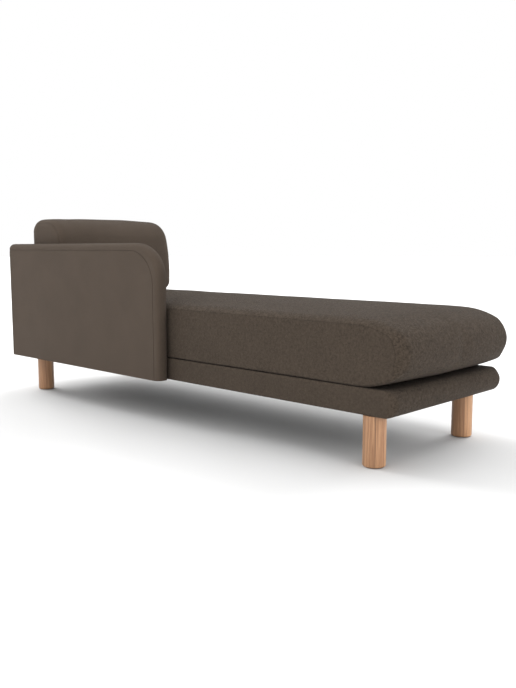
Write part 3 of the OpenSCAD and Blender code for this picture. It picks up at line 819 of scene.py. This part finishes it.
def back_cushion(settings, material):
    low, high = BACK_LOW, BACK_HIGH
    wide, crown = 0.001, 0.004  # how far it reaches past the solids at its ends and at the front
    front, rear, top = low.y, high.y - 0.003, high.z - 0.001
    depth, rise, tip = settings.shoulder_depth, settings.shoulder_height, settings.shoulder_radius
    arc = (rise**2 + depth**2 - 2 * rise * tip) / (2 * (depth - tip))
    lean = math.atan((rise - tip) / (arc - depth))
    centre = Vector((front + arc, top - rise))
    join = centre + Vector((-math.cos(lean), math.sin(lean))) * arc
    along = Vector((math.sin(lean), math.cos(lean)))
    lower = join - along * ((join.x - front) / along.x)
    upper = join + along * ((top - join.y) / along.y)
    corners = [
        (front, low.z, settings.low_radius),
        (rear, low.z, settings.low_radius),
        (rear, top, settings.rear_radius),
        (upper.x, top, tip),
        (front, lower.y, arc),
    ]
    section = half_section(settings.edge, seam_at=settings.seam, groove=0.0016, face_rows=())

    def lift(_, out, across):
        return crown * (1 - across * across) * smooth_step(-out.x, 0.2, 0.9)

    bm = shell(
        rounded(corners, step=0.015), low.x - wide, high.x + wide, section, columns=30,
        place=side_view, step=0.016, lift=lift,
    )
    piece = finished(bm, "back_cushion_pad", "back_cushion", material)
    blown(piece, settings.give)
    panel_face, arm_face = PANEL_LOW.y - 0.0006, ARM_HIGH.x + 0.002

    def settled(point, normal):
        rough = slack(point, size=0.12, height=0.0022) + slack(point, size=0.045, height=0.0006)
        point += normal * rough
        point.z = max(point.z, low.z)
        point.y = min(point.y, panel_face)
        point.x = max(point.x, arm_face)
        return point

    moved(piece, settled)
    subdivided(piece)
    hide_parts("back_cushion_core", "back_cushion_cover")


def turned_leg(node, settings, material):
    """A turned leg with a rounded lower rim and a recess for its glide."""
    low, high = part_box(node)
    _, glide_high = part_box("leg_glides")
    centre = Vector(((low.x + high.x) / 2, (low.y + high.y) / 2, 0))
    radius, rim = (high.x - low.x) / 2, settings.rounding
    recess = min(0.021, radius - 0.006)
    chamfer, lip, rim_rows = 0.0008, 0.0005, 5
    profile = [(0, high.z), (radius - chamfer, high.z), (radius, high.z - chamfer)]
    profile += [(radius, low.z + level) for level in (0.1, 0.04)]
    for k in range(rim_rows + 1):
        a = math.pi / 2 * k / rim_rows
        profile.append((radius - rim + rim * math.cos(a), low.z + rim - rim * math.sin(a)))
    profile += [(recess + lip, low.z), (recess, low.z + lip)]
    profile += [(recess, glide_high.z), (0, glide_high.z)]
    bm = bmesh.new()
    line = [bm.verts.new(centre + Vector((r, 0, z))) for r, z in profile]
    edges = [bm.edges.new(pair) for pair in zip(line, line[1:])]
    bmesh.ops.spin(
        bm, geom=line + edges, cent=centre, axis=(0, 0, 1), angle=math.tau, steps=settings.sides,
        use_merge=True,
    )
    bmesh.ops.remove_doubles(bm, verts=bm.verts, dist=1e-6)
    piece = finished(bm, node + "_turned", "frame", material, math.radians(40))
    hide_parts(node)


def dust_sheet(material):
    """The thin cloth stapled over the opening in the underside."""
    low, high = DUST_LOW, DUST_HIGH
    middle, size = (low + high) / 2, high - low
    thickness, sag, pucker_height, pucker_length = 0.0006, 0.0028, 0.0006, 0.055
    bm = bmesh.new()
    bmesh.ops.create_grid(bm, x_segments=26, y_segments=70, size=0.5)
    bmesh.ops.scale(bm, vec=(size.x, size.y, 1), verts=bm.verts)
    bmesh.ops.translate(bm, vec=(middle.x, middle.y, low.z + thickness), verts=bm.verts)
    piece = finished(bm, "dust_cover_cloth", "frame", material)

    def sagging(point, _):
        edge = min(point.x - low.x, high.x - point.x, point.y - low.y, high.y - point.y)
        wave = math.sin((point.x + point.y) * math.tau / pucker_length)
        pucker = wave * pucker_height * (1 - smooth_step(edge, 0.0, 0.06))
        point.z -= sag * smooth_step(edge, 0.0, 0.2) + pucker * smooth_step(edge, 0.0, 0.02)
        return point

    moved(piece, sagging)
    thick = piece.modifiers.new("Thickness", "SOLIDIFY")
    thick.thickness, thick.offset = thickness, 0
    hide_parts("dust_cover")


LEGS = ("leg_foot_near", "leg_foot_far", "leg_head_near", "leg_head_far")
INNER_PARTS = {
    "timber": (
        "side_rail_near", "side_rail_far", "foot_rail", "head_rail", "cross_rails", "leg_blocks",
        "arm_packer", "arm_bottom_rail", "arm_rear_post", "arm_front_post", "arm_corner_block",
        "arm_top_rail", "arm_stud", "back_bottom_rail", "back_near_post", "back_far_post",
        "back_corner_block", "back_top_rail", "back_stud", "corner_dowels",
    ),
    "hardboard": ("arm_boards", "back_boards"),
    "spring_steel": ("zigzag_springs",),
    "plated_steel": (
        "spring_clips", "leg_studs", "leg_tnuts", "arm_bolts", "arm_tnuts", "back_bolts",
        "back_tnuts",
    ),
    "felt": ("leg_glides",),
}

# Name, degrees round from the open side and above the floor, power, and what alone it lights.
LIGHTS = (
    ("rear_left_light", 135, 32, 0.44, None),
    ("left_light", 180, 32, 0.28, None),
    ("foot_light", 315, 32, 0.16, None),
    ("high_light", 45, 62, 0.46, None),
    ("floor_side_light", 0, 32, 2.8, "floor"),
    ("floor_corner_light", 45, 32, 0.8, "floor"),
    ("floor_rear_light", 90, 32, 3.8, "floor"),
    ("floor_foot_light", 270, 32, 0.8, "floor"),
    ("legs_light", 290, 20, 1.5, "legs"),
)
LIGHT_SPREAD = math.radians(36)
FLOOR_RADIUS = 60

CAMERA_PLACE = (-2.078, -2.1855, 0.640)
CAMERA_DOWN, CAMERA_ROUND = 7.136, 46.18  # degrees below level and clockwise from straight ahead
LENS, SENSOR, FURTHEST = 39.66, 36, 300


# ---- Operators ----

FELTED_YARN, WOVEN_YARN = 0.0024, 0.0021


class CHAISE_OT_base(bpy.types.Operator):
    """Upholster the base and close its underside"""

    bl_idname = "chaise.base"
    bl_label = "Base"

    def execute(self, context):
        colours = context.scene.chaise_colours
        material = upholstery("Felted_cloth_base", colours.felted, mottle=1.8, yarn=FELTED_YARN)
        base_upholstery(context.scene.chaise_base, material)
        dust_sheet(dust_cloth("Dust_cloth"))
        return {"FINISHED"}


class CHAISE_OT_panels(bpy.types.Operator):
    """Upholster the arm panel and the back panel"""

    bl_idname = "chaise.panels"
    bl_label = "Arm and back panels"

    def execute(self, context):
        colours = context.scene.chaise_colours
        material = upholstery("Cloth_panels", colours.cloth, mottle=0.16, yarn=WOVEN_YARN)
        arm_upholstery(context.scene.chaise_panels, material)
        back_upholstery(context.scene.chaise_panels, material)
        return {"FINISHED"}


class CHAISE_OT_seat_cushion(bpy.types.Operator):
    """Fill and lay the seat cushion"""

    bl_idname = "chaise.seat_cushion"
    bl_label = "Seat cushion"

    def execute(self, context):
        colours = context.scene.chaise_colours
        material = upholstery(
            "Felted_cloth_seat", colours.felted, mottle=2.2, yarn=FELTED_YARN, seam_shade=0.55
        )
        seat_cushion(context.scene.chaise_seat, material)
        return {"FINISHED"}


class CHAISE_OT_back_cushion(bpy.types.Operator):
    """Fill the loose back cushion and stand it on the seat"""

    bl_idname = "chaise.back_cushion"
    bl_label = "Back cushion"

    def execute(self, context):
        colours = context.scene.chaise_colours
        material = upholstery("Cloth_back_cushion", colours.cloth, mottle=0.2, yarn=WOVEN_YARN)
        back_cushion(context.scene.chaise_back, material)
        return {"FINISHED"}


class CHAISE_OT_legs(bpy.types.Operator):
    """Turn the four legs"""

    bl_idname = "chaise.legs"
    bl_label = "Legs"

    def execute(self, context):
        colours = context.scene.chaise_colours
        material = leg_wood("Leg_wood", colours.wood, colours.grain)
        for node in LEGS:
            turned_leg(node, context.scene.chaise_legs, material)
        return {"FINISHED"}


class CHAISE_OT_inner_parts(bpy.types.Operator):
    """Give the frames, boards, springs and fasteners their finishes"""

    bl_idname = "chaise.inner_parts"
    bl_label = "Inner parts"

    def execute(self, context):
        finishes = {
            "timber": frame_timber("Frame_timber"),
            "hardboard": hardboard("Hardboard"),
            "spring_steel": steel("Spring_steel", (0.16, 0.16, 0.165)),
            "plated_steel": steel("Plated_steel", (0.5, 0.49, 0.46)),
            "felt": felt("Glide_felt", (0.12, 0.115, 0.11)),
        }
        for finish, nodes in INNER_PARTS.items():
            for node in nodes:
                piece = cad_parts[node]
                piece.data.materials.clear()
                piece.data.materials.append(finishes[finish])
        return {"FINISHED"}


class CHAISE_OT_stage(bpy.types.Operator):
    """Set the floor, the lights and the camera"""

    bl_idname = "chaise.stage"
    bl_label = "Stage"

    def execute(self, context):
        scene = context.scene
        bm = bmesh.new()
        bmesh.ops.create_circle(
            bm, cap_ends=True, cap_tris=False, segments=96, radius=FLOOR_RADIUS
        )
        mesh = bpy.data.meshes.new("floor")
        bm.to_mesh(mesh)
        bm.free()
        mesh.materials.append(studio_floor("Floor", scene.chaise_colours.floor))
        floor = bpy.data.objects.new("floor", mesh)
        scene.collection.objects.link(floor)
        world = bpy.data.worlds.new("studio")
        scene.world = world
        world.use_nodes = True
        sky = world.node_tree.nodes["Background"].inputs
        sky["Color"].default_value = (1, 1, 1, 1)
        sky["Strength"].default_value = 1.0
        lit = {"floor": [floor], "legs": [scene.objects[leg + "_turned"] for leg in LEGS]}
        for name, pieces in lit.items():
            lit[name] = bpy.data.collections.new("lit_" + name)
            for piece in pieces:
                lit[name].objects.link(piece)
        for name, round_about, height, power, lights in LIGHTS:
            lamp = bpy.data.lights.new(name, "SUN")
            lamp.energy = power
            lamp.angle = LIGHT_SPREAD
            holder = bpy.data.objects.new(name, lamp)
            scene.collection.objects.link(holder)
            turn, rise = math.radians(round_about), math.radians(height)
            level = math.cos(rise)
            towards = Vector((-math.cos(turn) * level, -math.sin(turn) * level, -math.sin(rise)))
            holder.rotation_euler = towards.to_track_quat("-Z", "Y").to_euler()
            if lights:
                holder.light_linking.receiver_collection = lit[lights]
        camera = bpy.data.cameras.new("camera")
        camera.lens = LENS
        camera.sensor_width = SENSOR
        camera.clip_end = FURTHEST
        holder = bpy.data.objects.new("camera", camera)
        scene.collection.objects.link(holder)
        holder.location = CAMERA_PLACE
        holder.rotation_euler = (math.radians(90 - CAMERA_DOWN), 0, math.radians(-CAMERA_ROUND))
        scene.camera = holder
        scene.view_settings.view_transform = "Standard"
        return {"FINISHED"}


class CHAISE_PT_panel(bpy.types.Panel):
    """The steps and sizes of the chaise longue"""

    bl_idname = "CHAISE_PT_panel"
    bl_label = "Chaise Longue"
    bl_space_type = "VIEW_3D"
    bl_region_type = "UI"
    bl_category = "Chaise"

    def draw(self, context):
        for operator in STEPS:
            self.layout.operator(operator.bl_idname)
        for name in GROUPS:
            box = self.layout.box()
            group = getattr(context.scene, name)
            for key in group.__annotations__:
                box.prop(group, key)


STEPS = (
    CHAISE_OT_base, CHAISE_OT_panels, CHAISE_OT_seat_cushion, CHAISE_OT_back_cushion,
    CHAISE_OT_legs, CHAISE_OT_inner_parts, CHAISE_OT_stage,
)
GROUPS = {
    "chaise_base": ChaiseBase,
    "chaise_seat": ChaiseSeat,
    "chaise_back": ChaiseBack,
    "chaise_panels": ChaisePanels,
    "chaise_legs": ChaiseLegs,
    "chaise_colours": ChaiseColours,
}


def register():
    for cls in (*GROUPS.values(), *STEPS, CHAISE_PT_panel):
        bpy.utils.register_class(cls)
    for name, group in GROUPS.items():
        setattr(bpy.types.Scene, name, bpy.props.PointerProperty(type=group))


def unregister():
    for name in GROUPS:
        delattr(bpy.types.Scene, name)
    for cls in (CHAISE_PT_panel, *reversed(STEPS), *reversed(GROUPS.values())):
        bpy.utils.unregister_class(cls)


def main():
    register()
    bpy.ops.chaise.base()
    bpy.ops.chaise.panels()
    bpy.ops.chaise.seat_cushion()
    bpy.ops.chaise.back_cushion()
    bpy.ops.chaise.legs()
    bpy.ops.chaise.inner_parts()
    bpy.ops.chaise.stage()


if __name__ == "__main__":
    main()
